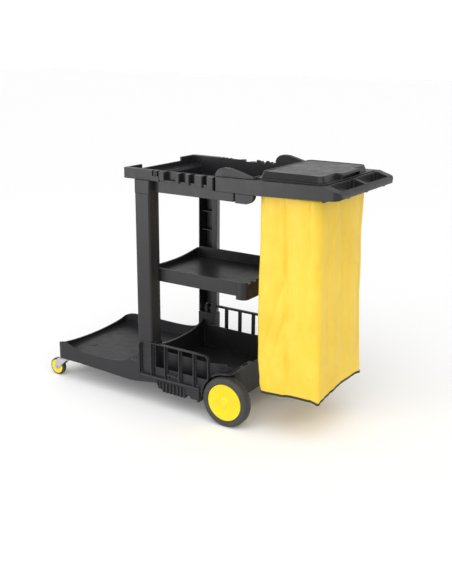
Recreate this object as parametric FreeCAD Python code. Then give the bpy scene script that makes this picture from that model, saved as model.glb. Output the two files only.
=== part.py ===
import FreeCAD, Part
import math
import os

from FreeCAD import Vector

os.makedirs("parts", exist_ok=True)

# Housekeeping cart, in millimetres.
# While the cart is drawn, X runs from the front end of the platform (0) to the push handle,
# Y = 0 is the cart's centre plane and Z = 0 is the floor.  The left side is -Y, as seen by
# a person who pushes the cart.  save() moves the finished pieces so that the origin lies on
# the floor under the middle of the whole cart.

# ---------------------------------------------------------------- driving dimensions
CART_LENGTH = 1300.0        # front of the platform to the push handle
CART_WIDTH = 490.0          # over the rear wheels, the columns and the side racks
CART_HEIGHT = 988.0         # top of the wings beside the lid

WHEEL_R = 100.0             # rear wheels, 8 inch
WHEEL_W = 42.0
WHEEL_X = 866.0
WHEEL_HUB_R = 72.5
AXLE_R = 8.0

CASTER_R = 37.5             # front casters, 3 inch
CASTER_W = 22.0
CASTER_X = 18.0             # swivel axis
CASTER_Y = 199.0
CASTER_TRAIL = 51.0
CASTER_HUB_R = 30.5
CASTER_TOP = 92.0           # underside of the platform at the casters

BASE_END = 887.0
BASE_HALF = 234.0
BASE_FLOOR = 128.0          # top of the platform floor
BASE_WALL = 4.0
BIN_START = 476.0
BIN_HALF = 190.0
BIN_TOP = 222.0
SILL_TOP = 170.0
ARCH_R = 107.0              # inside of the wheel arch
ARCH_WALL = 4.0

COLUMN_X0 = 456.0
COLUMN_X1 = 526.0
COLUMN_FLARE = 9.0
COLUMN_INNER = 197.0
COLUMN_OUTER = 244.5
COLUMN_FOOT = 275.0
COLUMN_HEAD = 863.0

SHELF_X0 = 441.0
SHELF_X1 = 926.0
SHELF_HALF = 195.0
SHELF_Z0 = 516.0
SHELF_Z1 = 569.0

TRAY_X0 = 396.0
TRAY_X1 = 958.0
TRAY_HALF = 235.0
TRAY_TOP = 953.0
TRAY_SKIRT = 914.0
TRAY_BOTTOM = 872.0
TRAY_CAVITY = 210.0         # half width of the tray's well
TRAY_WALL = 3.5
TRAY_FLANK = 229.5          # half width under the teeth of the tool combs
COMB_END = 808.0            # where the bag frame's arms begin
TOOTH_HALF = 237.0

FRAME_X0 = 818.0
FRAME_OPEN_X0 = 984.0
FRAME_OPEN_X1 = 1238.0
FRAME_OPEN_HALF = 204.0
FRAME_TOP = 957.0
FRAME_BOTTOM = 905.0
FRAME_SEAT = 955.0          # ledge inside the opening that the lid rests on

ARM_INNER = 218.0
LID_X0 = 959.0
LID_X1 = 1234.0
LID_HALF = 203.0
LID_SEAT = 955.6            # underside of the lid's rim
LID_FLANGE = 962.6          # top of its flat border
LID_TOP = 983.3
LID_BLOCK = (968.0, 1216.0) # foot of the lid's raised middle, in X
LID_BLOCK_HALF = 188.0
LID_SLOPE = 9.0             # how far its walls lean in
LID_TAB_HALF = 77.0
LID_HINGE = (965.0, 960.5)
LID_PIN_R = 2.5

BAG_X0 = 988.0              # neck of the bag, inside the frame
BAG_X1 = 1234.0
BAG_HALF = 196.0
BAG_BULGE = 5.0             # how far the bag stands out below the frame
BAG_FRONT = 974.0
BAG_SHOULDER = 902.0
BAG_BOTTOM = 172.0
BAG_TOP = 938.0
BAG_WALL = 2.5

RACK_LENGTH = 336.0
RACK_HEIGHT = 152.0
RACK_BACK = 232.5
RACK_FRONT = 245.0
RACK_AXIS_Y = 238.75
RACK_HINGE_END = 284.0      # length of the hinge along the rack's lower edge
RACK_ARCH = (408.0, -21.0)  # centre of the cut-out round the wheel, from the rack's lower corner
RACK_ARCH_R = 104.0
LEFT_RACK = (458.0, 121.0)      # X and Z of the rack's lower front corner
RIGHT_RACK = (438.0, 147.0)     # the right rack is clipped on higher and further forward

CASTER_REACH = CASTER_TRAIL + CASTER_R - CASTER_X
ORIGIN_X = 0.5 * (CART_LENGTH + 3.0 - CASTER_REACH)


# ---------------------------------------------------------------- helpers
def box(x0, x1, y0, y1, z0, z1):
    return Part.makeBox(x1 - x0, y1 - y0, z1 - z0, Vector(x0, y0, z0))


def mirrored(shape):
    return shape.mirror(Vector(0, 0, 0), Vector(0, 1, 0))


def both(shape):
    return shape.fuse(mirrored(shape))


def rod(x, y, z, axis, radius, length):
    return Part.makeCylinder(radius, length, Vector(x, y, z), Vector(*axis))


def rounded(x0, x1, y0, y1, z0, z1, radii):
    """Upright prism with rounded plan corners: radii at (x0,y0), (x1,y0), (x1,y1), (x0,y1)."""
    corners = [(x0, y0, 1, 1), (x1, y0, -1, 1), (x1, y1, -1, -1), (x0, y1, 1, -1)]
    edges = []
    ends = []
    for (cx, cy, sx, sy), radius in zip(corners, radii):
        along_x = Vector(cx + sx * radius, cy, z0)
        along_y = Vector(cx, cy + sy * radius, z0)
        bend = radius * (1 - math.sqrt(0.5))
        middle = Vector(cx + sx * bend, cy + sy * bend, z0)
        first, last = (along_y, along_x) if sx * sy > 0 else (along_x, along_y)
        ends.append((first, middle, last))
    for index, (first, middle, last) in enumerate(ends):
        edges.append(Part.Arc(first, middle, last).toShape())
        edges.append(Part.makeLine(last, ends[(index + 1) % 4][0]))
    return Part.Face(Part.Wire(edges)).extrude(Vector(0, 0, z1 - z0))


def prism_y(points, y0, y1):
    """Closed outline of (x, z) points, extruded from y0 to y1."""
    wire = Part.makePolygon([Vector(x, y0, z) for x, z in points + points[:1]])
    return Part.Face(wire).extrude(Vector(0, y1 - y0, 0))


def prism_z(points, z0, z1):
    """Closed outline of (x, y) points, extruded from z0 to z1."""
    wire = Part.makePolygon([Vector(x, y, z0) for x, y in points + points[:1]])
    return Part.Face(wire).extrude(Vector(0, 0, z1 - z0))


def above_curve(curve, direction, low, high, roof):
    """Everything above a smooth curve of (distance, z) points.

    The curve runs along X when direction is "x", and the result spans low..high in Y,
    and the other way round when direction is "y".
    """
    def at(distance, z):
        return Vector(distance, low, z) if direction == "x" else Vector(low, distance, z)

    spline = Part.BSplineCurve()
    spline.interpolate([at(distance, z) for distance, z in curve])
    start = at(*curve[0])
    end = at(*curve[-1])
    start_roof = at(curve[0][0], roof)
    end_roof = at(curve[-1][0], roof)
    edges = [
        spline.toShape(),
        Part.makeLine(end, end_roof),
        Part.makeLine(end_roof, start_roof),
        Part.makeLine(start_roof, start),
    ]
    span = Vector(0, high - low, 0) if direction == "x" else Vector(high - low, 0, 0)
    return Part.Face(Part.Wire(edges)).extrude(span)


def fuse_all(shapes):
    first = shapes[0]
    return first.multiFuse(shapes[1:]).removeSplitter() if len(shapes) > 1 else first


def cut_all(shape, tools):
    for tool in tools:
        shape = shape.cut(tool)
    return shape


def soften(shape, radius, chosen):
    """Fillet the edges that chosen() picks, or leave the shape as it is if none can be."""
    edges = [edge for edge in shape.Edges if chosen(edge)]
    if not edges:
        return shape
    try:
        result = shape.makeFillet(radius, edges)
    except Part.OCCError:
        return shape
    return result if result.isValid() and result.Volume > 0 else shape


def is_vertical(edge):
    start = edge.Vertexes[0].Point
    end = edge.Vertexes[-1].Point
    return len(edge.Vertexes) == 2 and (end - start).Length > 1 and abs(end.z - start.z) > 0.999 * edge.Length


def save(name, shapes):
    """Move the piece to the cart's frame and write parts/NAME.step."""
    solids = []
    for shape in shapes if isinstance(shapes, list) else [shapes]:
        placed = shape.copy()
        placed.translate(Vector(-ORIGIN_X, 0, 0))
        solids.extend(placed.Solids)
    result = solids[0] if len(solids) == 1 else Part.makeCompound(solids)
    result.exportStep("parts/" + name + ".step")
    print(name, len(solids), result.isValid(), [round(v, 1) for v in (
        result.BoundBox.XMin, result.BoundBox.XMax, result.BoundBox.YMin,
        result.BoundBox.YMax, result.BoundBox.ZMin, result.BoundBox.ZMax)])


# ---------------------------------------------------------------- base
LEFT_WALL = [(-5, 158), (12, 167), (40, 174), (62, 170), (84, 162), (131, 151), (190, 148.5),
             (242, 148), (300, 150.5), (335, 155), (365, 162), (393, 173), (430, 196), (470, 240)]
RIGHT_WALL = [(-5, 158), (12, 167), (40, 175), (77, 177.5), (213, 177), (321, 176), (370, 179),
              (405, 187), (432, 204), (470, 240)]
FRONT_LIP = [(-236, 168), (-218, 161), (-171, 151), (-134, 147), (134, 147), (171, 151),
             (218, 161), (236, 168)]
SADDLE = [(-192, 250), (-160, 237), (-121, 224), (-64, 216.5), (0, 214.5), (64, 216.5),
          (121, 224), (160, 237), (192, 250)]
BIN_REAR = [(-190, 226), (-170, 213), (-120, 211), (-60, 209.5), (0, 208), (60, 209.5), (120, 211),
            (170, 213), (190, 226)]
BOTTOM_EDGE = [(-5, 95), (120, 95), (400, 84), (440, 87.5), (540, 102), (545, 112), (BASE_END + 5, 112)]
LEDGE_SLOTS = [(-165, -137), (-120, -84)]
WELL_X0 = WHEEL_X - ARCH_R
WELL_Y = 195.0


def platform_walls():
    outer = rounded(0, BASE_END, -BASE_HALF, BASE_HALF, 84, 300, (22, 46, 46, 22))
    inner = rounded(BASE_WALL, BASE_END - BASE_WALL, -BASE_HALF + BASE_WALL, BASE_HALF - BASE_WALL,
                    80, 310, (18, 42, 42, 18))
    ring = outer.cut(inner)
    cuts = [
        above_curve(LEFT_WALL, "x", -240, -195, 320),
        above_curve(RIGHT_WALL, "x", 195, 240, 320),
        above_curve(FRONT_LIP, "y", -5, 22, 320).common(box(-5, 4.5, -250, 250, 100, 330)),
        box(4.5, 470, -195, 195, BASE_FLOOR, 330),
        box(470, BASE_END + 5, -250, 250, SILL_TOP, 330),
        prism_y(BOTTOM_EDGE + [(BASE_END + 5, 80), (-5, 80)], -250, 250),
    ]
    return cut_all(ring, cuts)


def platform_floor():
    floor = rounded(2, BIN_START + 2, -BASE_HALF + 2, BASE_HALF - 2, BASE_FLOOR - BASE_WALL, BASE_FLOOR,
                    (19, 1, 1, 19))
    boss = both(rod(78, -92, BASE_FLOOR, (0, 0, 1), 19, 1.2))
    ribs = [box(x, x + 3, -BASE_HALF + 2, BASE_HALF - 2, 98, BASE_FLOOR - 2) for x in (90, 180, 270, 360)]
    ribs += [box(30, BIN_START, y - 1.5, y + 1.5, 98, BASE_FLOOR - 2) for y in (-120, 0, 120)]
    sockets = both(rod(CASTER_X, -CASTER_Y, CASTER_TOP, (0, 0, 1), 13.5, BASE_FLOOR - 2 - CASTER_TOP))
    holes = both(rod(CASTER_X, -CASTER_Y, CASTER_TOP - 1, (0, 0, 1), 6.0, 27))
    return fuse_all([floor, boss, sockets] + ribs).cut(holes)


def rear_bin():
    outer = rounded(BIN_START, BASE_END - 6, -BIN_HALF, BIN_HALF, 90, 250, (1, 40, 40, 1))
    well = rounded(BIN_START + 8, BASE_END - 10, -BIN_HALF + 4, BIN_HALF - 4, BASE_FLOOR - 1, 260,
                   (8, 36, 36, 8))
    under = rounded(BIN_START + 4, BASE_END - 10, -BIN_HALF + 4, BIN_HALF - 4, 80, BASE_FLOOR - 5,
                    (4, 36, 36, 4))
    shell = outer.cut(well).cut(under)
    side_cut = [(BIN_START + 14, 246), (500, 226), (530, BIN_TOP), (600, BIN_TOP), (780, 224),
                (850, 232), (BASE_END + 2, 236)]
    cuts = [
        above_curve(SADDLE, "y", BIN_START - 2, BIN_START + 14, 330),
        above_curve(side_cut, "x", -196, -150, 330).cut(box(850, 900, -186, -100, 200, 340)),
        above_curve(side_cut, "x", 150, 196, 330).cut(box(850, 900, 100, 186, 200, 340)),
        above_curve(BIN_REAR, "y", 845, BASE_END + 5, 330),
    ]
    shell = cut_all(shell, cuts)
    rim = rounded(800, BASE_END - 1, -BIN_HALF - 3, BIN_HALF + 3, 202, 207, (1, 44, 44, 1))
    rim = rim.cut(rounded(790, BASE_END - 8, -BIN_HALF + 2, BIN_HALF - 2, 190, 220, (1, 38, 38, 1)))
    ledge = box(864.5, BASE_END - 1, -BIN_HALF + 2, -60, 207, 211)
    ledge = cut_all(ledge, [box(867, 876, y0, y1, 200, 220) for y0, y1 in LEDGE_SLOTS])
    return fuse_all([shell, rim, both(ledge)])


def tool_trough():
    """Slot between the side rack and the bin that takes the heads of brooms and mops."""
    return both(box(534, WELL_X0 + 4, -BASE_HALF + 2, -BIN_HALF + 2, BASE_FLOOR - BASE_WALL, BASE_FLOOR))


def wheel_arch():
    """Guard over each rear wheel: a curved front, a level top and a bead along the outer edge."""
    top = WHEEL_R + ARCH_R
    shell = around_wheel(ARCH_R, ARCH_R + ARCH_WALL, -BASE_HALF + 1, -BIN_HALF + 1)
    shell = shell.common(box(740, WHEEL_X, -BASE_HALF, -BIN_HALF, 96, top + ARCH_WALL + 1))
    bead = around_wheel(ARCH_R + 1, ARCH_R + ARCH_WALL + 3, -BASE_HALF - 1, -BASE_HALF + 4.5)
    bead = bead.common(box(740, WHEEL_X, -BASE_HALF - 2, -BIN_HALF, 120, top + 12))
    level = box(WHEEL_X, BASE_END - 2, -BASE_HALF + 1, -BIN_HALF + 1, top, top + ARCH_WALL)
    level_bead = box(WHEEL_X, BASE_END - 2, -BASE_HALF - 1, -BASE_HALF + 4.5, top + 1, top + ARCH_WALL + 3)
    end = rounded(WHEEL_X - 60, BASE_END - 2, -BASE_HALF - 1, 0, top - 1, top + 20, (1, 30, 1, 1))
    flat = fuse_all([level, level_bead]).common(end)
    return both(fuse_all([shell, bead, flat]))


def around_wheel(inner, outer, y0, y1):
    """Ring about the rear axle between two radii."""
    ring = rod(WHEEL_X, y0, WHEEL_R, (0, 1, 0), outer, y1 - y0)
    return ring.cut(rod(WHEEL_X, y0 - 1, WHEEL_R, (0, 1, 0), inner, y1 - y0 + 2))


def column_boss():
    """Hollow pier of the base that each column stands on."""
    outer = box(451, 534, -231.5, -BIN_HALF + 2, 104, COLUMN_FOOT)
    inner = box(455, 530, -227.5, -BIN_HALF - 2, 80, COLUMN_FOOT - 4)
    grooves = [box(445, 540, -235, -230.5, z, z + 2) for z in (194, 232)]
    return both(cut_all(outer, [inner] + grooves))


def tongues(z0, z1):
    """Upstands that fit inside the end of each column."""
    return both(fuse_all([box(x, x + 12, -231, -204, z0, z1) for x in (474, 504)]))


def ribbed_bracket():
    """Ribbed block under each rack and the bracket next to the wheel."""
    block = prism_y([(540, 112), (556, 84), (570, 72), (676, 70), (676, 118), (540, 118)], -BASE_HALF, -198)
    ribs = [box(556 + 17 * i, 561 + 17 * i, -BASE_HALF - 6, -BASE_HALF + 1, 72 if i else 84,
                113) for i in range(8)]
    slant = prism_y([(538, 113), (553, 84), (558, 84), (544, 113)], -BASE_HALF - 6, -BASE_HALF + 1)
    hook = Part.makeCylinder(16, 50, Vector(692, -240, 72), Vector(0, 1, 0))
    arch = box(676, 742, -BASE_HALF - 3, -198, 76, 118).cut(hook)
    cheek = box(738, 746, -BASE_HALF - 4, -198, 70, 118)
    return both(fuse_all([block, slant, arch, cheek] + ribs))


def rack_ears(corner, side):
    """The two ears that hold a rack's hinge pins."""
    x0, z0 = corner
    ears = []
    for x in (x0 - 6.5, x0 + RACK_HINGE_END + 0.5):
        ear = box(x, x + 6, -RACK_FRONT, -229, z0, z0 + 12)
        ear = ear.cut(rod(x - 1, -RACK_AXIS_Y, z0 + 6, (1, 0, 0), 3.0, 8))
        ears.append(ear)
    return [mirrored(ear) if side > 0 else ear for ear in ears]


def base_platform():
    body = fuse_all([platform_walls(), platform_floor(), rear_bin(), tool_trough(), wheel_arch(),
                     column_boss(), tongues(COLUMN_FOOT - 4, COLUMN_FOOT + 30), ribbed_bracket()])
    slot = both(box(402, 442, -240, -229, 173, 181))
    well = both(rod(WHEEL_X, -250, WHEEL_R, (0, 1, 0), ARCH_R, 250 - WELL_Y))
    open_end = both(box(WHEEL_X, BASE_END + 10, -250, -WELL_Y, 60, WHEEL_R + ARCH_R))
    recess = []
    for (x0, z0), side in ((LEFT_RACK, -1), (RIGHT_RACK, 1)):
        cutter = box(x0 - 8, x0 + RACK_LENGTH + 8, -250, -231.8, z0 - 2, z0 + RACK_HEIGHT + 2)
        recess.append(mirrored(cutter) if side > 0 else cutter)
    axle_hole = rod(WHEEL_X, -260, WHEEL_R, (0, 1, 0), AXLE_R, 520)
    body = cut_all(body, [slot, well, open_end] + recess + [axle_hole])
    for corner, side in ((LEFT_RACK, -1), (RIGHT_RACK, 1)):
        body = fuse_all([body] + rack_ears(corner, side))
    return body.Solids[0] if len(body.Solids) == 1 else max(body.Solids, key=lambda s: s.Volume)


# ---------------------------------------------------------------- columns
def column(corner):
    """Channel section that opens towards the middle of the cart, with stiffening webs.

    Its outer face is set back where the side rack stands higher than the column's foot.
    """
    outline = [
        (COLUMN_X0 + 5, -COLUMN_OUTER), (COLUMN_X1 - 5, -COLUMN_OUTER),
        (COLUMN_X1, -COLUMN_OUTER + 5), (COLUMN_X1 + 4, -COLUMN_OUTER + 22),
        (COLUMN_X1 + COLUMN_FLARE, -COLUMN_INNER - 10), (COLUMN_X1 + COLUMN_FLARE, -COLUMN_INNER),
        (COLUMN_X0 - COLUMN_FLARE, -COLUMN_INNER), (COLUMN_X0 - COLUMN_FLARE, -COLUMN_INNER - 10),
        (COLUMN_X0 - 4, -COLUMN_OUTER + 22), (COLUMN_X0, -COLUMN_OUTER + 5),
    ]
    hollow = [
        (COLUMN_X0 + 6, -COLUMN_OUTER + 4), (COLUMN_X1 - 6, -COLUMN_OUTER + 4),
        (COLUMN_X1 - 1, -COLUMN_OUTER + 22), (COLUMN_X1 + COLUMN_FLARE - 4, -COLUMN_INNER - 12),
        (COLUMN_X1 - 8, -COLUMN_INNER - 6), (COLUMN_X1 - 12, -COLUMN_INNER + 1),
        (COLUMN_X0 - COLUMN_FLARE + 4, -COLUMN_INNER + 1),
        (COLUMN_X0 - COLUMN_FLARE + 4, -COLUMN_INNER - 12), (COLUMN_X0 + 1, -COLUMN_OUTER + 22),
    ]
    shell = prism_z(outline, COLUMN_FOOT, COLUMN_HEAD)
    shell = soften(shell, 4.0, lambda e: is_vertical(e) and e.BoundBox.YMax < -COLUMN_OUTER + 6)
    shell = shell.cut(prism_z(hollow, COLUMN_FOOT - 1, COLUMN_HEAD + 1))
    webs = [box(COLUMN_X0 + 3, COLUMN_X1 - 3, -COLUMN_OUTER + 3, -COLUMN_INNER - 10, z, z + 3)
            for z in (400, 640, 720, 800)]
    rack_top = corner[1] + RACK_HEIGHT
    recess = box(COLUMN_X0 - 20, COLUMN_X1 + 20, -COLUMN_OUTER - 5, -RACK_BACK + 0.7,
                 COLUMN_FOOT - 5, rack_top + 2)
    return fuse_all([shell] + webs).cut(recess)


# ---------------------------------------------------------------- middle shelf
SHELF_FRONT = [(-196, 563), (-150, 556), (-80, 548), (0, 545.5), (80, 548), (150, 556), (196, 563)]


def middle_shelf():
    outer = rounded(SHELF_X0, SHELF_X1, -SHELF_HALF, SHELF_HALF, SHELF_Z0 - 14, SHELF_Z1, (8, 24, 24, 8))
    well = rounded(SHELF_X0 + 7, SHELF_X1 - 6, -SHELF_HALF + 5, SHELF_HALF - 5, SHELF_Z0 + 12,
                   SHELF_Z1 + 10, (8, 19, 19, 8))
    under = rounded(SHELF_X0 + 4, SHELF_X1 - 4, -SHELF_HALF + 4, SHELF_HALF - 4, SHELF_Z0 - 30,
                    SHELF_Z0 + 8, (5, 20, 20, 5))
    lower = box(SHELF_X0 - 5, SHELF_X1 - 42, -SHELF_HALF - 5, SHELF_HALF + 5, SHELF_Z0 - 30, SHELF_Z0)
    sweep = above_curve(SHELF_FRONT, "y", SHELF_X0 - 5, SHELF_X0 + 12, 620)
    notch = [box(SHELF_X1 - 16, SHELF_X1 + 5, y, y + 26, SHELF_Z1 - 7, SHELF_Z1 + 10)
             for y in (-178, -140, 114, 152)]
    shelf = cut_all(outer, [well, under, lower, sweep] + notch)
    step = both(box(SHELF_X1 - 44, SHELF_X1 - 41, -SHELF_HALF - 1.2, -SHELF_HALF + 3, SHELF_Z0, SHELF_Z1 - 1))
    arms = both(box(COLUMN_X0 - 2, COLUMN_X1 + 2, -COLUMN_INNER - 0.0, -SHELF_HALF + 2, SHELF_Z0, SHELF_Z1 - 8))
    ribs = [box(x, x + 3, -SHELF_HALF + 3, SHELF_HALF - 3, SHELF_Z0 + 1, SHELF_Z0 + 9)
            for x in (520, 600, 680, 760, 840)]
    return fuse_all([shelf, step, arms] + ribs)


# ---------------------------------------------------------------- top tray
NOTCHES = [(591, 641), (659, 686), (704, 726), (761, 780)]
SLOTS = [(535, 542), (556, 563)]
NOTCH_FLOOR = 921.0
TEETH = [(545, 553, 929), (566, 591, 920), (641, 659, 916), (686, 704, 914), (726, 761, 909), (780, 808, 905)]
RIGHT_BUMPS = [(722, 738), (766, 780)]
RIGHT_DIPS = [(553, 561, 941), (570, 582, 941), (664, 720, 947), (740, 763, 947), (784, 801, 947)]


def top_tray():
    """Tub with a stepped floor, the sockets that sit on the columns and the brackets at its rear."""
    half = TRAY_CAVITY + TRAY_WALL
    tub = prism_y([(TRAY_X0, TRAY_TOP), (TRAY_X0, TRAY_SKIRT), (440, TRAY_SKIRT), (448, 905),
                   (448, TRAY_BOTTOM), (892, TRAY_BOTTOM), (892, 903), (TRAY_X1, 903),
                   (TRAY_X1, TRAY_TOP)], -half, half)
    cavity = prism_y([(TRAY_X0 + 8, TRAY_TOP + 5), (TRAY_X0 + 8, TRAY_SKIRT + 4), (444, TRAY_SKIRT + 4),
                      (452, 909), (452, TRAY_BOTTOM + 4), (888, TRAY_BOTTOM + 4), (888, 907),
                      (TRAY_X1 - 4, 907), (TRAY_X1 - 4, TRAY_TOP + 5)], -TRAY_CAVITY, TRAY_CAVITY)
    front = box(TRAY_X0 - 5, TRAY_X0 + 9, -127, 134, TRAY_TOP - 16, TRAY_TOP + 5)
    rear_rim = both(box(COMB_END, TRAY_X1, -ARM_INNER + 0.5, -TRAY_CAVITY - 1, 902, TRAY_TOP))
    flank = both(box(560, TRAY_X1 - 68, -TRAY_FLANK, -TRAY_CAVITY - 1, TRAY_BOTTOM, TRAY_SKIRT))
    arm_space = both(box(COMB_END, TRAY_X1, -TRAY_FLANK - 5, -ARM_INNER + 0.5, 903, TRAY_SKIRT + 5))
    under_flank = both(box(564, TRAY_X1 - 72, -TRAY_FLANK + 4, -half, TRAY_BOTTOM - 5, TRAY_SKIRT - 4))
    flank_end = both(box(886, 892, -TRAY_FLANK - 3, -TRAY_CAVITY - 1, TRAY_BOTTOM + 1, 903))
    socket = both(prism_z([
        (COLUMN_X0 + 3, -COLUMN_OUTER), (COLUMN_X1 - 3, -COLUMN_OUTER), (COLUMN_X1, -COLUMN_OUTER + 3),
        (COLUMN_X1 + COLUMN_FLARE, -COLUMN_INNER - 10), (COLUMN_X1 + COLUMN_FLARE, -COLUMN_INNER),
        (COLUMN_X0 - COLUMN_FLARE, -COLUMN_INNER), (COLUMN_X0 - COLUMN_FLARE, -COLUMN_INNER - 10),
        (COLUMN_X0, -COLUMN_OUTER + 3)], COLUMN_HEAD, TRAY_SKIRT))
    seam = both(box(440, 550, -COLUMN_OUTER - 5, -COLUMN_OUTER + 1.2, COLUMN_HEAD, COLUMN_HEAD + 1.5))
    socket = socket.cut(seam)
    body = fuse_all([tub, flank.cut(under_flank).cut(arm_space), rear_rim, flank_end, socket, tray_bracket()])
    body = cut_all(body, [cavity, front] + right_dips())
    bumps = [box(x0, x1, TRAY_CAVITY, half, TRAY_TOP - 2, TRAY_TOP + 4.5) for x0, x1 in RIGHT_BUMPS]
    return fuse_all([body, tongues(COLUMN_HEAD - 30, COLUMN_HEAD + 4)] + bumps)


def right_dips():
    """Shallow dips in the top edge of the tray's right side."""
    return [box(x0, x1, TRAY_CAVITY - 5, TRAY_HALF + 5, z, TRAY_TOP + 5) for x0, x1, z in RIGHT_DIPS]


def tray_bracket():
    """Block under each rear corner of the tray, with three rounded rib plates."""
    block = box(901, 942, -TRAY_HALF, -205, 870, 903)
    plates = []
    for y in (-TRAY_HALF, -226, -TRAY_CAVITY - 7):
        quarter = rod(942, y, 903, (0, 1, 0), 33, 3)
        plates.append(quarter.common(box(941, 990, y - 1, y + 4, 860, 903)))
    return both(fuse_all([block] + plates))


def tool_comb():
    """Notched rail along the left side of the tray, which holds the handles of brooms and mops."""
    inner = -TRAY_CAVITY - TRAY_WALL
    rail = rounded(TRAY_X0, 565, -TRAY_HALF, inner, TRAY_SKIRT, TRAY_TOP, (10, 1, 1, 1))
    hollow = box(TRAY_X0 + 4, 450, -TRAY_HALF + 4, inner - 4, TRAY_SKIRT - 5, TRAY_TOP - 4)
    strip = box(560, COMB_END, -TRAY_FLANK, inner, TRAY_SKIRT, TRAY_TOP - 1)
    body = fuse_all([rail, strip]).cut(hollow)
    cuts = [box(x0, x1, -TRAY_HALF - 10, inner + 1, NOTCH_FLOOR, TRAY_TOP + 5) for x0, x1 in NOTCHES]
    cuts += [box(x0, x1, -TRAY_HALF - 10, inner - 4, TRAY_TOP - 20, TRAY_TOP + 5) for x0, x1 in SLOTS]
    body = cut_all(body, cuts)
    teeth = []
    for x0, x1, z0 in TEETH:
        tooth = rounded(x0, x1, -TOOTH_HALF, -TRAY_FLANK + 6, z0, TRAY_TOP - 1, (3.5, 3.5, 0.5, 0.5))
        teeth.append(tooth.cut(box(x0 - 1, x1 + 1, -TRAY_FLANK, inner, TRAY_BOTTOM, TRAY_SKIRT)))
    return fuse_all([body] + teeth)


# ---------------------------------------------------------------- bag frame with push handle
def wing():
    """Upright wing beside the lid, which keeps the lid in line."""
    outline = [(807, 953.2), (807, 961), (811, 970), (818, 978), (828, 984), (842, 987.3),
               (856, CART_HEIGHT), (870, 987), (895, 981), (925, 973), (950, 965.5), (968, 960),
               (968, 953.2)]
    blade = prism_y(outline, -221.0, -213.0)
    band = prism_y([(828, 984), (842, 987.3), (856, CART_HEIGHT), (870, 987), (895, 981), (925, 973),
                    (950, 965.5), (968, 960), (968, 956), (895, 975), (856, 982), (828, 979)],
                   -224.0, -206.5)
    return both(fuse_all([blade, band]))


def handle_profile():
    """Side view of the handle end: level rail, then a top that slopes down to the grip."""
    return [(FRAME_OPEN_X1, FRAME_TOP), (FRAME_OPEN_X1 + 3, FRAME_TOP + 3), (1250, FRAME_TOP),
            (1292, 944), (1299, 939.5), (1303, 931), (1302, 921), (1296, 917), (1240, 912)]


def bag_frame():
    arms = both(prism_y([(FRAME_X0, 955), (FRAME_X0, FRAME_BOTTOM), (984, FRAME_BOTTOM - 1), (1240, 912.5),
                         (1240, 960), (984, 957)], -TRAY_HALF, -ARM_INNER))
    rails = both(prism_y([(962, 957), (962, FRAME_BOTTOM - 1), (984, FRAME_BOTTOM - 1), (1240, 912.5),
                          (1240, 960), (984, 957)], -TRAY_HALF, -FRAME_OPEN_HALF))
    cross = box(962, FRAME_OPEN_X0, -FRAME_OPEN_HALF - 2, FRAME_OPEN_HALF + 2, FRAME_BOTTOM, 950)
    handle = prism_y(handle_profile(), -TRAY_HALF, TRAY_HALF)
    handle = soften(handle, 26.0, is_corner)
    inner_wall = box(FRAME_OPEN_X1, FRAME_OPEN_X1 + 8, -TRAY_HALF + 2, TRAY_HALF - 2, FRAME_BOTTOM + 2, 957)
    body = fuse_all([arms, rails, cross, handle, inner_wall, wing()])
    pockets = []
    for y0, y1 in ((-196, -9), (9, 196)):
        pocket = rounded(1244.5, 1291, y0, y1, 900, 975, (7, 7, 7, 7))
        middle = y0 + 0.8 * (y1 - y0)
        rib = rounded(1240, 1252, middle - 3, middle + 3, 890, 954, (1, 2.9, 2.9, 1))
        pockets.append(pocket.cut(rib))
    hollow = [both(prism_y([(992, FRAME_BOTTOM - 5), (992, 951), (1232, 953), (1232, FRAME_BOTTOM - 5)],
                           -TRAY_HALF + 4, -FRAME_OPEN_HALF - 4))]
    body = cut_all(body, pockets + hollow)
    bosses = []
    for y in (-150, 0, 150):
        bosses.append(box(1291.5, 1297, y - 5, y + 5, 915, 922))
    ledges = []
    for y in (-120, 120):
        ledges.append(box(983, 1004, y - 12, y + 12, 918, 927.7))
        ledges.append(box(1218, 1239, y - 12, y + 12, 918, 927.7))
    seat = box(983, 1239, -FRAME_OPEN_HALF - 1, FRAME_OPEN_HALF + 1, FRAME_SEAT - 5, FRAME_SEAT)
    ledges.append(seat.cut(box(991, 1227, -FRAME_OPEN_HALF + 9, FRAME_OPEN_HALF - 9, 900, 990)))
    x, z = LID_HINGE
    ears = both(prism_y([(x - 3, 949), (x - 5, z), (x - 2.5, z + 4.6), (x + 2.5, z + 4.6), (x + 5, z),
                         (x + 5, 949)], -FRAME_OPEN_HALF - 9, -FRAME_OPEN_HALF - 1.0))
    body = fuse_all([body, ears] + bosses + ledges)
    pin_hole = rod(x, -FRAME_OPEN_HALF - 8, z, (0, 1, 0), LID_PIN_R, 2 * FRAME_OPEN_HALF + 16)
    return body.cut(pin_hole)


def is_corner(edge):
    """Edges of the handle that stand at its two outer corners."""
    box_of = edge.BoundBox
    return (box_of.XMin > 1300.5 and box_of.ZLength > 5 and box_of.YLength < 1
            and abs(box_of.YMin) > TRAY_HALF - 1)


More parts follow.
